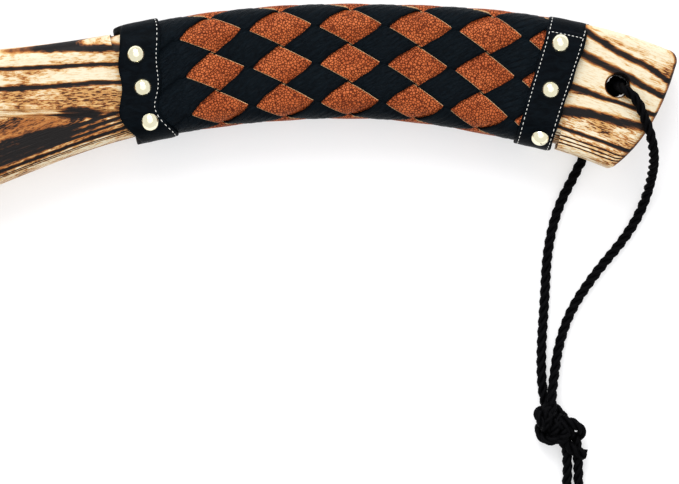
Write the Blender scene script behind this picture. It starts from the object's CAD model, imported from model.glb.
import math

import bpy
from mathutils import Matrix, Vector


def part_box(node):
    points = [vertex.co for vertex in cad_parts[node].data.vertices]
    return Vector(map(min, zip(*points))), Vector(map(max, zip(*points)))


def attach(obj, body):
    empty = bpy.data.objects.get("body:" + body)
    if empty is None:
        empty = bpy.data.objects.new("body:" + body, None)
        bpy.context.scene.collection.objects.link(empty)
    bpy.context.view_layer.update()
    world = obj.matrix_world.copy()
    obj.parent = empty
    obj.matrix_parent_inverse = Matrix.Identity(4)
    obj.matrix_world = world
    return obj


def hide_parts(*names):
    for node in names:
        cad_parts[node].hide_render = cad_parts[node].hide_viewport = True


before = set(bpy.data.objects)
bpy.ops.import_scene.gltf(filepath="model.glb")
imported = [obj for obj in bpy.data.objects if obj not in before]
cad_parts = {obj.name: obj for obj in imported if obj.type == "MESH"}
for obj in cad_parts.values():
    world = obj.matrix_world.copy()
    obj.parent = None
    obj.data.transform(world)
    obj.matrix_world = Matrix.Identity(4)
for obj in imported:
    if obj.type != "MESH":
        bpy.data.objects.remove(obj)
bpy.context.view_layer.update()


# ---------------------------------------------------------------- studio
# A pale table seen from straight above, with a broad soft light from the top of the view
# and the handle of the stick, its lanyard and part of the head in the frame.
bpy.ops.object.select_all(action="DESELECT")
stick_low, stick_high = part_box("wood_stick")
apex_to_butt = 0.11964
apex_to_low_side = 0.112
apex = Vector((
    stick_high[0] - apex_to_butt,
    stick_low[1] + apex_to_low_side,
    (stick_low[2] + stick_high[2]) / 2,
))
framed_middle = apex + Vector((-0.0020, -0.0655, 0))
framed_width = 0.2444
camera_distance = 1.4
stick_top = 0.025
sensor_width = 36

bpy.ops.object.camera_add(
    location=(framed_middle.x, framed_middle.y, camera_distance + stick_top)
)
camera = bpy.context.object
camera.data.sensor_width = sensor_width
camera.data.lens = sensor_width * camera_distance / framed_width
bpy.context.scene.camera = camera


def area_light(name, position, size, power, aim):
    bpy.ops.object.light_add(type="AREA", location=position)
    light = bpy.context.object
    light.name = name
    light.data.shape = "DISK"
    light.data.size = size
    light.data.energy = power
    light.rotation_euler = (Vector(aim) - Vector(position)).to_track_quat("-Z", "Y").to_euler()


area_light("main_light", (apex.x - 0.15, apex.y + 0.80, 0.9), size=0.8, power=7, aim=apex)
area_light("top_light", (apex.x + 0.1, apex.y + 0.1, 1.8), size=2.2, power=5, aim=apex)

world = bpy.data.worlds.new("studio")
bpy.context.scene.world = world
world.use_nodes = True
background = world.node_tree.nodes["Background"]
background.inputs["Color"].default_value = (1, 1, 1, 1)
background.inputs["Strength"].default_value = 0.72
bpy.context.scene.view_settings.view_transform = "Standard"
bpy.context.scene.view_settings.look = "Medium High Contrast"

bpy.ops.mesh.primitive_plane_add(size=6, location=(0, 0, 0))
table = bpy.context.object
table.name = "table_top"


# ---------------------------------------------------------------- shader maths
# A socket in a wrapper, so that a pattern is written as an expression.
class Wire:
    def __init__(self, tree, socket):
        self.tree = tree
        self.socket = socket

    def node(self, kind, settings=None, **inputs):
        made = self.tree.nodes.new(kind)
        for name, value in (settings or {}).items():
            if name == "stops":
                ramp = made.color_ramp
                while len(ramp.elements) < len(value):
                    ramp.elements.new(0.5)
                for element, (place, colour) in zip(ramp.elements, value):
                    element.position = place
                    element.color = (*colour, 1)
            else:
                setattr(made, name, value)
        for name, value in inputs.items():
            key = int(name[1:]) if name[0] == "i" and name[1:].isdigit() else name.replace("_", " ")
            if isinstance(value, Wire):
                self.tree.links.new(value.socket, made.inputs[key])
            else:
                made.inputs[key].default_value = value
        return made

    def out(self, made, name=0):
        return Wire(self.tree, made.outputs[name])

    def maths(self, operation, *values, clamp=False):
        inputs = {f"i{k}": value for k, value in enumerate(values)}
        made = self.node("ShaderNodeMath", {"operation": operation, "use_clamp": clamp}, **inputs)
        return self.out(made)

    def __add__(self, other):
        return self.maths("ADD", self, other)

    __radd__ = __add__

    def __sub__(self, other):
        return self.maths("SUBTRACT", self, other)

    def __rsub__(self, other):
        return self.maths("SUBTRACT", other, self)

    def __mul__(self, other):
        return self.maths("MULTIPLY", self, other)

    __rmul__ = __mul__

    def clamp(self):
        return self.maths("ADD", self, 0.0, clamp=True)

    def size(self):
        return self.maths("ABSOLUTE", self)

    def rise(self, low, high):
        """0 below low and 1 above high, with a smooth rise between them."""
        made = self.node(
            "ShaderNodeMapRange", {"interpolation_type": "SMOOTHSTEP"}, Value=self
        )
        made.inputs["From Min"].default_value = low
        made.inputs["From Max"].default_value = high
        return self.out(made, "Result")

    def mix(self, first, second):
        """A colour between first and second, by this wire's value."""
        made = self.tree.nodes.new("ShaderNodeMix")
        made.data_type = "RGBA"
        self.tree.links.new(self.socket, made.inputs[0])
        for index, colour in ((6, first), (7, second)):
            if isinstance(colour, Wire):
                self.tree.links.new(colour.socket, made.inputs[index])
            else:
                made.inputs[index].default_value = (*colour, 1)
        return Wire(self.tree, made.outputs[2])


def new_material(name):
    """A fresh material: the material, its surface shader and the object's coordinates."""
    material = bpy.data.materials.new(name)
    material.use_nodes = True
    tree = material.node_tree
    surface = tree.nodes["Principled BSDF"]
    coordinates = tree.nodes.new("ShaderNodeTexCoord")
    return material, surface, Wire(tree, coordinates.outputs["Object"])


def stretched(place, x, y, z):
    made = place.node("ShaderNodeMapping", None, Vector=place)
    made.inputs["Scale"].default_value = (x, y, z)
    return place.out(made)


def noise(place, scale, detail=3, roughness=0.55, distortion=0):
    made = place.node("ShaderNodeTexNoise", None, Vector=place)
    made.inputs["Scale"].default_value = scale
    made.inputs["Detail"].default_value = detail
    made.inputs["Roughness"].default_value = roughness
    made.inputs["Distortion"].default_value = distortion
    return place.out(made, "Fac")


def feed(surface, wire, name):
    wire.tree.links.new(wire.socket, surface.inputs[name])


def bump(surface, height, distance, strength=1.0):
    made = height.node("ShaderNodeBump", None, Height=height)
    made.inputs["Distance"].default_value = distance
    made.inputs["Strength"].default_value = strength
    height.tree.links.new(made.outputs["Normal"], surface.inputs["Normal"])


def finish_piece(piece, material):
    piece.data.materials.clear()
    piece.data.materials.append(material)


table_finish, table_surface = new_material("table_white")[:2]
table_surface.inputs["Base Color"].default_value = (0.55, 0.55, 0.56, 1)
table_surface.inputs["Emission Color"].default_value = (1, 1, 1, 1)
table_surface.inputs["Emission Strength"].default_value = 0.40
table_surface.inputs["Roughness"].default_value = 0.8
finish_piece(table, table_finish)


# ---------------------------------------------------------------- lanyard
# Twisted black rope, three strands laid round each other. It goes through the hole in the
# butt, and its two runs meet in a knot with two cut tails below it.
rope_diameter = 0.0037
strand_circle = rope_diameter * 0.25
strand_radius = rope_diameter * 0.27
lay_length = 0.0110
rope_step = 0.0007
hole = Vector((apex.x + 0.0982, apex.y - 0.0092, apex.z))
half_thickness = 0.010
upper_face = apex.z + half_thickness
loop_rise = 0.0046
floor_line = rope_diameter / 2


def route(points):
    """Points given by their distances from the apex and their heights, all in millimetres."""
    return [Vector((apex.x + x / 1000, apex.y + y / 1000, z / 1000)) for x, y, z in points]


mm_up = upper_face * 1000
mm_floor = floor_line * 1000
front_route = [hole, Vector((hole.x, hole.y, upper_face + loop_rise))] + route([
    (104.4, -13.5, mm_up + 3.6),
    (107.6, -20.6, mm_up + 2.8),
    (110.4, -28.6, mm_up + 1.2),
    (111.8, -35.6, 19.5),
    (111.6, -41.6, 10.5),
    (110.2, -48.6, 4.0),
    (107.2, -56.4, mm_floor),
    (101.6, -65.2, mm_floor),
    (92.3, -76.0, mm_floor),
    (82.6, -90.0, mm_floor),
    (78.2, -103.0, mm_floor),
    (76.4, -114.5, mm_floor + 1.8),
    (75.2, -124.0, mm_floor + 3.6),
    (76.0, -131.0, mm_floor + 3.8),
])
back_route = [hole, Vector((hole.x, hole.y, floor_line))] + route([
    (94.7, -17.2, mm_floor),
    (90.4, -28.2, mm_floor),
    (84.4, -40.2, mm_floor),
    (77.6, -53.2, mm_floor),
    (73.9, -69.0, mm_floor),
    (73.1, -86.0, mm_floor),
    (71.9, -102.0, mm_floor),
    (71.8, -115.0, mm_floor),
    (72.9, -124.0, mm_floor),
    (74.9, -131.0, mm_floor),
])
tail_1_route = route([
    (80.4, -136.0, 4.4),
    (81.6, -146.0, 3.2),
    (80.9, -158.0, mm_floor),
    (82.2, -174.0, mm_floor),
])
tail_2_route = route([
    (84.2, -135.0, 4.4),
    (85.4, -146.0, 3.2),
    (85.2, -157.0, mm_floor),
    (86.9, -171.0, mm_floor),
])


def smooth_line(points, closed=False):
    """The points of a smooth curve that the route's points control, evenly spaced."""
    curve = bpy.data.curves.new("route", "CURVE")
    curve.dimensions = "3D"
    spline = curve.splines.new("NURBS")
    spline.points.add(len(points) - 1)
    for point, place in zip(spline.points, points):
        point.co = (*place, 1)
    spline.order_u = 3
    spline.use_endpoint_u = not closed
    spline.use_cyclic_u = closed
    spline.resolution_u = 16
    holder = bpy.data.objects.new("route", curve)
    bpy.context.scene.collection.objects.link(holder)
    bpy.context.view_layer.update()
    evaluated = holder.evaluated_get(bpy.context.evaluated_depsgraph_get())
    mesh = bpy.data.meshes.new_from_object(evaluated)
    line = [vertex.co.copy() for vertex in mesh.vertices]
    bpy.data.objects.remove(holder)
    bpy.data.meshes.remove(mesh)
    return line


def evenly(line, step):
    """The same line with its points a step apart."""
    spaced = [line[0]]
    carried = 0.0
    for before, after in zip(line, line[1:]):
        length = (after - before).length
        while carried + length >= step:
            before = before + (after - before) * ((step - carried) / length)
            length = (after - before).length
            carried = 0.0
            spaced.append(before)
            if length < 1e-9:
                break
        carried += length
    if (line[-1] - spaced[-1]).length > step * 0.3:
        spaced.append(line[-1])
    return spaced


def rope_mesh(name, line, fatness=1.0, sides=7):
    """Three round strands laid round a line, as one mesh with closed ends."""
    line = evenly(line, rope_step)
    vertices = []
    faces = []
    tangent = (line[1] - line[0]).normalized()
    side = tangent.orthogonal().normalized()
    frames = []
    for index, point in enumerate(line):
        ahead = line[min(index + 1, len(line) - 1)] - line[max(index - 1, 0)]
        turned = tangent.rotation_difference(ahead.normalized())
        side = (turned @ side).normalized()
        tangent = ahead.normalized()
        frames.append((point, tangent, side, tangent.cross(side)))
    for strand in range(3):
        first = len(vertices)
        for index, (point, tangent, side, up) in enumerate(frames):
            turn = 2 * math.pi * (index * rope_step / lay_length + strand / 3)
            outwards = side * math.cos(turn) + up * math.sin(turn)
            middle = point + outwards * strand_circle * fatness
            for k in range(sides):
                angle = 2 * math.pi * k / sides + turn
                outwards = side * math.cos(angle) + up * math.sin(angle)
                vertices.append(middle + outwards * strand_radius * fatness)
        count = len(frames)
        for index in range(count - 1):
            for k in range(sides):
                a = first + index * sides + k
                b = first + index * sides + (k + 1) % sides
                faces.append((a, b, b + sides, a + sides))
        faces.append(tuple(first + k for k in reversed(range(sides))))
        faces.append(tuple(first + (count - 1) * sides + k for k in range(sides)))
    mesh = bpy.data.meshes.new(name)
    mesh.from_pydata([tuple(v) for v in vertices], [], faces)
    mesh.polygons.foreach_set("use_smooth", [True] * len(mesh.polygons))
    piece = bpy.data.objects.new(name, mesh)
    bpy.context.scene.collection.objects.link(piece)
    return piece


rope_finish, rope_surface, rope_place = new_material("black_rope")
rope_fibre = noise(rope_place, 2600, 2)
rope_colour = rope_fibre.rise(0.3, 0.8).mix((0.0012, 0.0012, 0.0016), (0.006, 0.006, 0.008))
feed(rope_surface, rope_colour, "Base Color")
rope_surface.inputs["Roughness"].default_value = 0.55
rope_surface.inputs["Specular IOR Level"].default_value = 0.08
bump(rope_surface, rope_fibre, 0.0003, 0.6)

front_run_line = smooth_line(front_route)
back_run_line = smooth_line(back_route)
tail_1_line = smooth_line(tail_1_route)
tail_2_line = smooth_line(tail_2_route)

for name, line, node in (
    ("rope_front", front_run_line, "lanyard_front_run"),
    ("rope_back", back_run_line, "lanyard_back_run"),
    ("rope_tail_left", tail_1_line, "lanyard_tail_1"),
    ("rope_tail_right", tail_2_line, "lanyard_tail_2"),
):
    piece = rope_mesh(name, line)
    finish_piece(piece, rope_finish)
    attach(piece, "root")
    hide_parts(node)

# The knot: the doubled rope tied in an overhand knot and pulled tight, so that its turns lie
# against each other in a slanting oval, with one short cut stub that sticks out beside it.
knot_low, knot_high = (Vector(corner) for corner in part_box("lanyard_knot"))
knot_middle = (knot_low + knot_high) / 2
knot_along = Vector((0.78, -0.62, 0)).normalized()
knot_across = Vector((0.62, 0.78, 0)).normalized()
knot_up = Vector((0, 0, 1))
knot_long_half = 0.0092
knot_short_half = 0.0056
knot_lift = 0.0030
knot_points = 18
knot_start = 0.35


def knot_line(shift, swell):
    """One closed turn of the knot, an overhand knot's line pressed into an oval."""
    points = []
    for k in range(knot_points):
        t = 2 * math.pi * k / knot_points + knot_start
        x = (math.sin(t) + 2 * math.sin(2 * t)) / 3
        y = (math.cos(t) - 2 * math.cos(2 * t)) / 3
        z = -math.sin(3 * t)
        place = knot_middle + knot_along * (knot_long_half * swell * x + shift * 0.8)
        place += knot_across * (knot_short_half * swell * y + shift) + knot_up * knot_lift * z
        points.append(place)
    return points


def wrapped_line(turns, reach, width, height):
    """Rope wound round the knot's middle."""
    points = []
    points_a_turn = 8
    count = int(turns * points_a_turn) + 1
    for k in range(count):
        t = 2 * math.pi * k / points_a_turn
        slide = reach * (2 * k / (count - 1) - 1)
        side = knot_across * (width * math.cos(t)) + knot_up * (height * math.sin(t))
        points.append(knot_middle + knot_along * slide + side)
    return points


knot_turns = []
for name, shift, swell in (("knot_a", 0.0012, 1.0), ("knot_b", -0.0014, 0.90)):
    line = smooth_line(knot_line(shift, swell), closed=True)
    line.append(line[0])
    knot_turns.append(rope_mesh(name, line))
wrapping = wrapped_line(turns=2.5, reach=0.0050, width=0.0034, height=0.0026)
knot_turns.append(rope_mesh("knot_c", smooth_line(wrapping)))
stub_line = [
    knot_middle + knot_along * 0.004 - knot_across * 0.002,
    knot_middle + knot_along * 0.0080 - knot_across * 0.0040 + knot_up * 0.0008,
    knot_middle + Vector((0.0108, -0.0106, -0.0004)),
]
knot_turns.append(rope_mesh("knot_stub", smooth_line(stub_line), fatness=1.2))
bpy.ops.object.select_all(action="DESELECT")
for piece in knot_turns:
    piece.select_set(True)
bpy.context.view_layer.objects.active = knot_turns[0]
bpy.ops.object.join()
rope_knot = bpy.context.object
rope_knot.name = "rope_knot"
rope_knot.data.name = "rope_knot"
finish_piece(rope_knot, rope_finish)
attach(rope_knot, "root")
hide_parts("lanyard_knot")


# Inside the hole the rope winds down for a little over one turn
hole_turn_radius = 0.0022
hole_turn_top = 0.0040
hole_turn_fall = 0.0006
hole_turn_points = 11
turn_points = [
    hole + Vector((
        hole_turn_radius * math.cos(k * math.pi / 4),
        hole_turn_radius * math.sin(k * math.pi / 4),
        hole_turn_top - hole_turn_fall * k,
    ))
    for k in range(hole_turn_points)
]
hole_turn = rope_mesh("rope_in_hole", smooth_line(turn_points))
finish_piece(hole_turn, rope_finish)
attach(hole_turn, "root")


# ---------------------------------------------------------------- wood
# One length of pale open-grained wood, scorched so that the soft grain went dark brown and
# black, then brushed and oiled. Its burnt lines follow the handle's curve, and meet at a knot
# below the front collar.
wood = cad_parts["wood_stick"]
wood_finish, wood_surface, wood_place = new_material("scorched_wood")
arc_radius = 0.357
grip_reach = 0.062
flat_start = -0.055
butt_start = 0.074
butt_slope = 0.10
neck_slope = 0.03
edge_slope = 0.34
edge_offset = 0.0155
ring_tilt = 0.75
wood_cream = (0.76, 0.68, 0.51)
wood_tan = (0.62, 0.38, 0.15)
wood_orange = (0.40, 0.145, 0.032)
wood_brown = (0.13, 0.045, 0.014)
wood_black = (0.006, 0.004, 0.004)

split_place = wood_place.node("ShaderNodeSeparateXYZ", None, Vector=wood_place)
x = wood_place.out(split_place, "X") - apex.x
y = wood_place.out(split_place, "Y") - apex.y
z = wood_place.out(split_place, "Z")
past_flat = x.maths("MAXIMUM", x, flat_start) - x
past_butt = x.maths("MAXIMUM", x, butt_start) - butt_start
on_curve = x.maths("MAXIMUM", x, flat_start)
curve_level = y + on_curve * on_curve * (0.5 / arc_radius) + (z - upper_face) * ring_tilt

# Above the knot the neck's grain runs nearly straight, and below it along the lower edge
straight_level = curve_level + past_flat * neck_slope + past_butt * butt_slope
edge_level = curve_level + past_flat * edge_slope + edge_offset
lower_side = (0 - y).rise(0.0172, 0.0212)
in_butt = x.rise(0.0, 0.02)
in_head = 1 - x.rise(-0.175, -0.130)
in_neck = (1 - in_butt) * (1 - in_head)
edge_share = lower_side * (1 - in_butt)
grain_level = straight_level * (1 - edge_share) + edge_level * edge_share
grain_place = wood_place.out(
    wood_place.node("ShaderNodeCombineXYZ", None, X=x, Y=grain_level, Z=z * 0.35)
)
wander = noise(stretched(grain_place, 24, 60, 30), 1.0, 2) - 0.5
ripple = noise(stretched(grain_place, 90, 170, 60), 1.0, 2) - 0.5
ragged = noise(stretched(grain_place, 330, 1500, 900), 1.0, 3, 0.7) - 0.5
pores = noise(stretched(grain_place, 420, 2000, 1500), 1.0, 3, 0.65)
fine = noise(stretched(grain_place, 45, 2300, 1500), 1.0, 3, 0.6)
patches = noise(stretched(grain_place, 50, 120, 60), 1.0, 3, 0.6)
bend = wander * 0.0062 + ripple * 0.0026 + ragged * 0.0011


def veins(at, lines):
    """1 on the burnt lines of the grain, by their levels and half thicknesses, in metres."""
    total = None
    for centre, half_thickness in lines:
        away = (at - centre).size()
        line = 1 - away.rise(half_thickness * 0.25, half_thickness * 1.25)
        total = line if total is None else total.maths("MAXIMUM", total, line)
    return total


upper_lines = veins(straight_level + bend * 0.55, [
    (0.0095, 0.0013), (0.0126, 0.0005), (0.0040, 0.0008), (-0.0030, 0.0010), (-0.0143, 0.0011),
])
lower_lines = veins(edge_level + bend * 0.25, [
    (0.0008, 0.0003), (0.0017, 0.0003), (0.0037, 0.0009), (0.0061, 0.0005), (0.0080, 0.0007),
    (0.0102, 0.0008),
])
# In the butt the burnt lines are wedges that thin out towards its end
wedge = 0.62 + past_butt * 15
butt_wedges = veins((straight_level + bend - 0.002) * wedge, [
    (0.01692, 0.0017), (0.00882, 0.0019), (-0.0012, 0.0012), (-0.00765, 0.0016),
])
butt_edge_lines = veins(straight_level + bend * 0.2, [
    (-0.0155, 0.0009), (-0.0182, 0.0003), (-0.0196, 0.0003), (-0.0209, 0.0003),
])
butt_lines = butt_wedges.maths(
    "MAXIMUM", butt_wedges * straight_level.rise(-0.0135, -0.0115), butt_edge_lines
)
rings_a_metre = 95
head_rings = (straight_level + bend * 1.6) * rings_a_metre + patches * 1.1
head_rings = head_rings.maths("FRACT", head_rings)
ring_lines = head_rings.rise(0.66, 0.93) * (1 - head_rings.rise(0.94, 1.0))
head_lines = ring_lines * (0.55 + patches * 0.9)
neck_lines = upper_lines * (1 - lower_side) + lower_lines * lower_side
lines = (neck_lines * in_neck + butt_lines * in_butt + head_lines * in_head).clamp()


def blotch(at, middle_x, middle_y, half_x, half_y):
    """1 in the middle of a soft oval stain and 0 outside it."""
    dx = (x - middle_x) * (1 / half_x)
    dy = (at - middle_y) * (1 / half_y)
    return 1 - (dx * dx + dy * dy + ripple * 1.1 + ragged * 0.7).rise(0.25, 1.0)


# A dark knot where the two grains meet, and a broad burnt area that reaches into the head
knot_stain = blotch(curve_level, -0.0955, -0.0150, 0.0095, 0.0030)
burnt = blotch(edge_level, -0.1230, 0.0092, 0.0280, 0.0060) * lower_side
warm = blotch(curve_level, -0.1100, -0.0205, 0.0290, 0.0062)
halo = patches.rise(0.42, 0.64)
speckle = pores.rise(0.46, 0.60)
stipple = speckle * (0.10 + halo * 0.42 + lower_side * 0.15)
tone = lines * 0.92 + halo * 0.30 + warm * 0.42 + stipple + (fine - 0.5) * 0.30
tone = (tone - 0.03 + knot_stain * 0.75 + burnt * 0.85).clamp()

# Under the leather the wood stays dark, and the sawn ends and the hole's wall are scorched
facing = wood_place.node("ShaderNodeTexCoord")
facing_split = wood_place.node(
    "ShaderNodeSeparateXYZ", None, Vector=wood_place.out(facing, "Normal")
)
end_face = wood_place.out(facing_split, "X").rise(0.35, 0.75)
hole_x = x - (hole.x - apex.x)
hole_y = y - (hole.y - apex.y)
wall_starts_squared = 0.0000172
wall_ends_squared = 0.0000212
from_hole_squared = hole_x * hole_x + hole_y * hole_y
hole_wall = 1 - from_hole_squared.rise(wall_starts_squared, wall_ends_squared)
under_braid = x.rise(-0.064, -0.061) * (1 - x.rise(grip_reach, grip_reach + 0.003))
tone = (tone + under_braid + end_face * 0.5 + hole_wall * 0.8).clamp()
wood_colour = wood_place.out(
    wood_place.node(
        "ShaderNodeValToRGB",
        {
            "stops": [
                (0.0, wood_cream),
                (0.20, wood_tan),
                (0.42, wood_orange),
                (0.64, wood_brown),
                (0.90, wood_black),
            ]
        },
        Fac=tone,
    )
)
feed(wood_surface, wood_colour, "Base Color")
feed(wood_surface, tone * 0.15 + 0.4, "Roughness")
wood_surface.inputs["Specular IOR Level"].default_value = 0.3
bump(wood_surface, (fine * 0.6 + pores * 0.6 - tone * 0.7), 0.0004, 0.6)
finish_piece(wood, wood_finish)


# ---------------------------------------------------------------- brass nails
# Polished domed nails. A little wear dulls them.
brass_finish, brass_surface, brass_place = new_material("polished_brass")
brass_surface.inputs["Metallic"].default_value = 1.0
brass_wear = noise(brass_place, 900, 3)
feed(brass_surface, brass_wear.mix((0.93, 0.86, 0.58), (1.0, 0.97, 0.80)), "Base Color")
feed(brass_surface, brass_wear * 0.10 + 0.10, "Roughness")
for node in ("front_collar_nails", "rear_collar_nails"):
    finish_piece(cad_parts[node], brass_finish)


# ---------------------------------------------------------------- leather
# Soft black leather with fine creases for the collars and half of the braid, and pebbled
# orange leather for the other half. A strap's cut edges are paler than its face.
def strap_map(place):
    """A strap's own map, which runs from 0 to 1 along it and from 0 to 1 across it."""
    return place.out(place.node("ShaderNodeUVMap", {"uv_map": "UVMap"}))


def strap_edge(own_map, width):
    """1 along the two long cut edges of a strap and 0 between them."""
    halves = own_map.node("ShaderNodeSeparateXYZ", None, Vector=own_map)
    across = (own_map.out(halves, "Y") - 0.5).size()
    return across.rise(0.5 - width, 0.5 - width * 0.3)


orange_leather, orange_surface, orange_place = new_material("orange_leather")
jitter = noise(orange_place, 700, 2)
pebbles = orange_place.node(
    "ShaderNodeTexVoronoi", {"feature": "DISTANCE_TO_EDGE"}, Vector=orange_place
)
pebbles.inputs["Scale"].default_value = 1050
pebble_height = orange_place.out(pebbles, "Distance").rise(0.0, 0.17)
pebble_height = (pebble_height + (jitter - 0.5) * 0.7).clamp()
orange_cloud = noise(orange_place, 120, 4)
orange_cut = strap_edge(strap_map(orange_place), 0.07)
orange_tops = orange_cloud.rise(0.3, 0.7).mix((0.43, 0.108, 0.034), (0.58, 0.165, 0.056))
orange_face = pebble_height.mix((0.10, 0.018, 0.006), orange_tops)
feed(orange_surface, orange_cut.mix(orange_face, (0.84, 0.56, 0.32)), "Base Color")
feed(orange_surface, 0.62 - pebble_height * 0.14, "Roughness")
orange_surface.inputs["Specular IOR Level"].default_value = 0.15
bump(orange_surface, pebble_height, 0.00030, 0.9)

black_strap_leather, black_surface, black_place = new_material("black_strap_leather")
creases = noise(stretched(strap_map(black_place), 55, 22, 1), 1.0, 5, 0.62, 0.8)
black_grain = noise(black_place, 1500, 3)
black_colour = creases.rise(0.25, 0.8).mix((0.0012, 0.0032, 0.0055), (0.0055, 0.0115, 0.0170))
feed(black_surface, black_colour, "Base Color")
feed(black_surface, creases * 0.22 + 0.34, "Roughness")
black_surface.inputs["Specular IOR Level"].default_value = 0.09
bump(black_surface, creases + black_grain * 0.25, 0.0009, 0.9)

collar_leather, collar_surface, collar_place = new_material("black_collar_leather")
collar_crease = noise(stretched(collar_place, 260, 520, 420), 1.0, 5, 0.6, 0.7)
collar_grain = noise(collar_place, 1800, 3)
collar_colour = collar_crease.rise(0.3, 0.8).mix(
    (0.0008, 0.0022, 0.0040), (0.0040, 0.0080, 0.0120)
)
feed(collar_surface, collar_colour, "Base Color")
feed(collar_surface, collar_grain * 0.2 + 0.42, "Roughness")
collar_surface.inputs["Specular IOR Level"].default_value = 0.07
bump(collar_surface, collar_crease * 0.6 + collar_grain * 0.3, 0.0005, 0.6)


# ---------------------------------------------------------------- braid
# Eight black and eight orange flat strands, plaited over and under round the handle. The
# black ones are softer and spread out where they lie on top, and near the head they lie
# over every orange one.
seat_width = 0.037
seat_flare = 0.0049
flare_start = 0.005
flare_length = 0.075
corner_radius = 0.0067
skin_middle = 0.00103
strands_each_way = 8
column_pitch = 0.0244
first_column = 0.0018
first_row_turn = -0.010
over_height = 0.00104
strap_thickness = 0.0009
strap_clearance = 0.0001
crown_height = 0.00030
black_over_before = -0.066
strap_start, strap_end = -0.0760, 0.0800
across_cuts = (-0.5, -0.47, -0.42, -0.3, -0.15, 0, 0.15, 0.3, 0.42, 0.47, 0.5)
steps_per_cell = 18
plain_spread = 0.97
joined_spread = 1.02
top_swell = 0.20
under_pinch = -0.08


def smooth(share):
    """A smooth rise from 0 at a share of 0 to 1 at a share of 1."""
    share = min(max(share, 0), 1)
    return share * share * (3 - 2 * share)


def half_width(along):
    return (seat_width + seat_flare * smooth((along - flare_start) / flare_length)) / 2


def skin_point(along, turn, height):
    """A point at a height above the wood, along the handle and a share of the way round it."""
    flat = half_width(along) - corner_radius
    side = half_thickness - corner_radius
    bend_radius = corner_radius + skin_middle
    bend = bend_radius * math.pi / 2
    faces = (2 * flat, 2 * side, 2 * flat, 2 * side)
    corners = ((flat, side), (flat, -side), (-flat, -side), (-flat, side))
    left = (turn % 1) * (4 * flat + 4 * side + 4 * bend) + flat
    face = 0
    while left > faces[face % 4] + bend:
        left -= faces[face % 4] + bend
        face += 1
    lean = face * math.pi / 2
    bent = lean + max(left - faces[face % 4], 0) / bend_radius
    before_corner = max(faces[face % 4] - left, 0)
    foot = corners[face % 4]
    reach = corner_radius + height
    across = foot[0] - before_corner * math.cos(lean) + reach * math.sin(bent)
    up = foot[1] + before_corner * math.sin(lean) + reach * math.cos(bent)
    angle = along / arc_radius
    swing = arc_radius + across
    return apex + Vector((swing * math.sin(angle), swing * math.cos(angle) - arc_radius, up))


def on_top(cell, number, leans_forward):
    """1 where this strand lies over the one that crosses it, and 0 where it lies under."""
    lean = 1 if leans_forward else -1
    if first_column + lean * column_pitch * (cell - number) / 2 < black_over_before:
        return int(leans_forward)
    return int((cell + number) % 2 == int(leans_forward))


def strap(name, number, leans_forward):
    """One strand: a fine grid laid along its path on the skin, then given its thickness."""
    lean = 1 if leans_forward else -1
    cells = (strap_end - strap_start) * 2 / column_pitch
    count = int(cells * steps_per_cell) + 1
    bpy.ops.mesh.primitive_grid_add(
        x_subdivisions=count, y_subdivisions=len(across_cuts) - 1, size=1
    )
    piece = bpy.context.object
    piece.name = name
    mesh = piece.data
    mesh.name = name
    for vertex in mesh.vertices:
        share = vertex.co.x + 0.5
        row = round((vertex.co.y + 0.5) * (len(across_cuts) - 1))
        along = strap_start + (strap_end - strap_start) * share
        centre_crossing = number + lean * 2 * (along - first_column) / column_pitch
        cell = math.floor(centre_crossing + 0.5)
        middle_share = math.cos(math.pi * (centre_crossing - cell)) ** 2
        here = on_top(cell, number, leans_forward)
        neighbour = cell + (1 if centre_crossing > cell else -1)
        spread = plain_spread
        if leans_forward and here and on_top(neighbour, number, leans_forward):
            spread = joined_spread
        elif leans_forward:
            spread += (top_swell if here else under_pinch) * middle_share
        offset = across_cuts[row] * spread
        across = number + offset
        crossing = across + lean * 2 * (along - first_column) / column_pitch
        turn = first_row_turn + (across + crossing) / (2 * strands_each_way)
        cell = math.floor(crossing + 0.5)
        inside = 0.5 - abs(crossing - cell)
        here = on_top(cell, number, leans_forward)
        there = on_top(cell + (1 if crossing > cell else -1), number, leans_forward)
        if leans_forward:
            level = there + (here - there) * (0.5 + 0.5 * smooth(inside / 0.10))
        else:
            level = here * smooth((inside - 0.03) / 0.13)
        crown = math.cos(math.pi * across_cuts[row]) * math.cos(math.pi * (crossing - cell))
        edge = max(abs(across_cuts[row]) - 0.38, 0) / 0.12
        height = strap_clearance + strap_thickness + over_height * level
        height += crown_height * crown * level - crown_height * edge * edge
        vertex.co = skin_point(along, turn, height)
    mesh.polygons.foreach_set("use_smooth", [True] * len(mesh.polygons))
    solid = piece.modifiers.new("thickness", "SOLIDIFY")
    solid.thickness = strap_thickness
    solid.offset = -1
    bpy.ops.object.modifier_apply(modifier="thickness")
    return piece


braid_finishes = (("black", True, black_strap_leather), ("orange", False, orange_leather))
for colour, leans_forward, finish in braid_finishes:
    for number in range(strands_each_way):
        bpy.ops.object.select_all(action="DESELECT")
        piece = strap(f"{colour}_strap_{number + 1}", number, leans_forward)
        finish_piece(piece, finish)
        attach(piece, "root")
        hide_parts(f"{colour}_strand_{number + 1}")


# ---------------------------------------------------------------- collars
# Black leather bands round the ends of the braid, turned down to the wood on their outer
# sides. They were pulled tight by hand, so their lines wander. The rear band's end is
# lapped over its beginning and sewn down.
collar_outer = 0.00315
collar_inner = 0.00222
collar_edge = 0.0005
collar_rings = 240
hem = 0.0013
lap_turn = 0.150
lap_drop = 0.00055
front_half, rear_half = 0.0073, 0.0070


def hump(turn, middle, width):
    """A smooth hump of height 1 at a turn, counted the short way round."""
    away = (turn - middle + 0.5) % 1 - 0.5
    return math.exp(-((away / width) ** 2))


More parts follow.
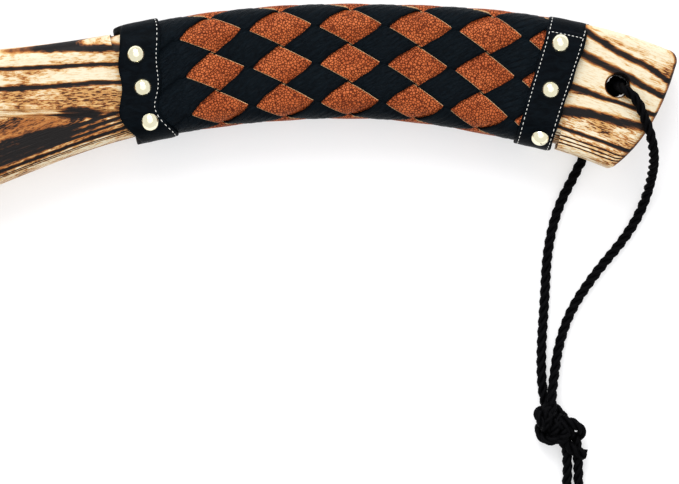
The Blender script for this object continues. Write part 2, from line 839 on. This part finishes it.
def front_line(turn):
    """Where the front band's middle line lies along the handle. It bows three times."""
    bows = ((0.0027, 0.165, 0.08), (-0.0034, -0.10, 0.055), (0.0022, -0.20, 0.05))
    return -0.0737 + sum(reach * hump(turn, middle, width) for reach, middle, width in bows)


def rear_line(turn):
    """Where the rear band's middle line lies along the handle. It leans."""
    return 0.0749 + 0.0019 * math.sin(2 * math.pi * turn)


def unchanged(turn):
    """For a band that neither drops nor is cut back."""
    return 0.0


def rounded_corner(turn):
    """How far the front band's outer edge is cut back towards the outside of the curve."""
    return 0.0024 * hump(turn, 0.225, 0.06)


def lapped(turn):
    """How far the rear band's outside drops past its lapped end."""
    away = (turn - lap_turn) % 1
    return lap_drop * smooth(away / 0.006) * (1 - smooth((away - 0.05) / 0.3))


def collar(name, line, half_breadth, drop, cut_back, hem_side):
    """A band with rounded edges round the handle, as a closed ring."""
    w = half_breadth
    low = {-1: collar_inner, 1: collar_inner}
    low[hem_side] = strap_clearance
    shoulder = collar_outer - collar_edge
    bevel = collar_outer - collar_edge * 0.3
    profile = [(-w, low[-1]), (-w, (collar_outer + low[-1]) / 2), (-w, shoulder)]
    profile += [(-w + collar_edge * 0.3, bevel), (-w + collar_edge, collar_outer)]
    profile += [(w * share, collar_outer) for share in (-0.8, -0.6, -0.3, 0, 0.3, 0.6, 0.8)]
    profile += [(w - collar_edge, collar_outer), (w - collar_edge * 0.3, bevel)]
    profile += [(w, shoulder), (w, (collar_outer + low[1]) / 2), (w, low[1])]
    profile += [(w - hem, low[1]), (w - hem, collar_inner), (0, collar_inner)]
    profile += [(-w + hem, collar_inner), (-w + hem, low[-1])]
    bpy.ops.object.select_all(action="DESELECT")
    bpy.ops.mesh.primitive_torus_add(
        major_segments=collar_rings,
        minor_segments=len(profile),
        major_radius=0.03,
        minor_radius=0.01,
    )
    piece = bpy.context.object
    piece.name = name
    piece.data.name = name
    for vertex in piece.data.vertices:
        turn = (vertex.index // len(profile)) / collar_rings
        offset, height = profile[vertex.index % len(profile)]
        if height > collar_inner:
            height -= drop(turn)
            waves = math.sin(17 * turn * 2 * math.pi) * math.sin(offset * 900 + 5 * turn)
            height += 0.00005 * waves
        offset += cut_back(turn) * (w - offset) / (2 * w)
        wobble = 0.00018 * math.sin(2 * math.pi * turn * 9 + 1.3)
        vertex.co = skin_point(line(turn) + offset + wobble, turn, height)
    bpy.ops.object.mode_set(mode="EDIT")
    bpy.ops.mesh.select_all(action="SELECT")
    bpy.ops.mesh.remove_doubles(threshold=0.000001)
    bpy.ops.mesh.normals_make_consistent(inside=False)
    bpy.ops.object.mode_set(mode="OBJECT")
    piece.data.polygons.foreach_set("use_smooth", [True] * len(piece.data.polygons))
    finish_piece(piece, collar_leather)
    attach(piece, "root")
    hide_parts(name.replace("_band", "_collar"))


collar("front_band", front_line, front_half, unchanged, rounded_corner, hem_side=-1)
collar("rear_band", rear_line, rear_half, lapped, unchanged, hem_side=1)


# ---------------------------------------------------------------- stitching
# Waxed white thread: one row by the front band's inner edge, a row by each edge of the rear
# band, and a short row across its lapped end.
thread_finish, thread_surface, thread_place = new_material("white_thread")
thread_twist = noise(thread_place, 4000, 2)
feed(thread_surface, thread_twist.mix((0.62, 0.61, 0.57), (0.90, 0.89, 0.85)), "Base Color")
thread_surface.inputs["Roughness"].default_value = 0.7
stitch_length = 0.00095
stitch_width = 0.00031
stitch_inset = 0.0011
thread_lift = 0.00006
way_round = 0.118
front_count, rear_count = 70, 76
lap_count = 8
lap_pitch = 0.0014
lap_first = -0.0052

bpy.ops.object.select_all(action="DESELECT")
bpy.ops.mesh.primitive_uv_sphere_add(segments=8, ring_count=6, radius=0.5)
bead = bpy.context.object
bead_points = [vertex.co.copy() for vertex in bead.data.vertices]
bead_faces = [tuple(face.vertices) for face in bead.data.polygons]
bpy.data.objects.remove(bead)


def sewn(name, node, threads):
    """Stitches, each between two points of the leather, as one mesh of small rounded threads."""
    vertices = []
    faces = []
    for first, last, outwards in threads:
        along = (last - first).normalized()
        side = along.cross(outwards).normalized()
        first_vertex = len(vertices)
        for point in bead_points:
            place = (first + last) / 2 + along * point.x * (last - first).length
            place += side * point.y * stitch_width + outwards * point.z * stitch_width
            vertices.append(place)
        faces += [tuple(first_vertex + k for k in face) for face in bead_faces]
    mesh = bpy.data.meshes.new(name)
    mesh.from_pydata([tuple(v) for v in vertices], [], faces)
    mesh.polygons.foreach_set("use_smooth", [True] * len(mesh.polygons))
    piece = bpy.data.objects.new(name, mesh)
    bpy.context.scene.collection.objects.link(piece)
    finish_piece(piece, thread_finish)
    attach(piece, "root")
    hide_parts(node)


def thread_between(along_1, turn_1, along_2, turn_2, height):
    """A stitch's two ends on the leather, and the way out from the leather."""
    first = skin_point(along_1, turn_1, height)
    last = skin_point(along_2, turn_2, height)
    outwards = (skin_point(along_1, turn_1, height + 0.001) - first).normalized()
    return first, last, outwards


def row_round(line, offset, count, drop):
    """A row of stitches round a band, a set distance from its middle line."""
    threads = []
    reach = stitch_length / way_round / 2
    for k in range(count):
        turn = (k + 0.5) / count
        height = collar_outer - drop(turn) + thread_lift
        before = turn - reach
        after = turn + reach
        threads.append(
            thread_between(line(before) + offset, before, line(after) + offset, after, height)
        )
    return threads


sewn(
    "front_stitches",
    "front_collar_stitching",
    row_round(front_line, front_half - stitch_inset, front_count, unchanged),
)
rear_threads = row_round(rear_line, stitch_inset - rear_half, rear_count, lapped)
rear_threads += row_round(rear_line, rear_half - stitch_inset, rear_count, lapped)
lap_row = lap_turn - 0.008
for k in range(lap_count):
    start = rear_line(lap_row) + lap_first + lap_pitch * k
    rear_threads.append(
        thread_between(start, lap_row, start + stitch_length, lap_row, collar_outer + thread_lift)
    )
sewn("rear_stitches", "rear_collar_stitching", rear_threads)
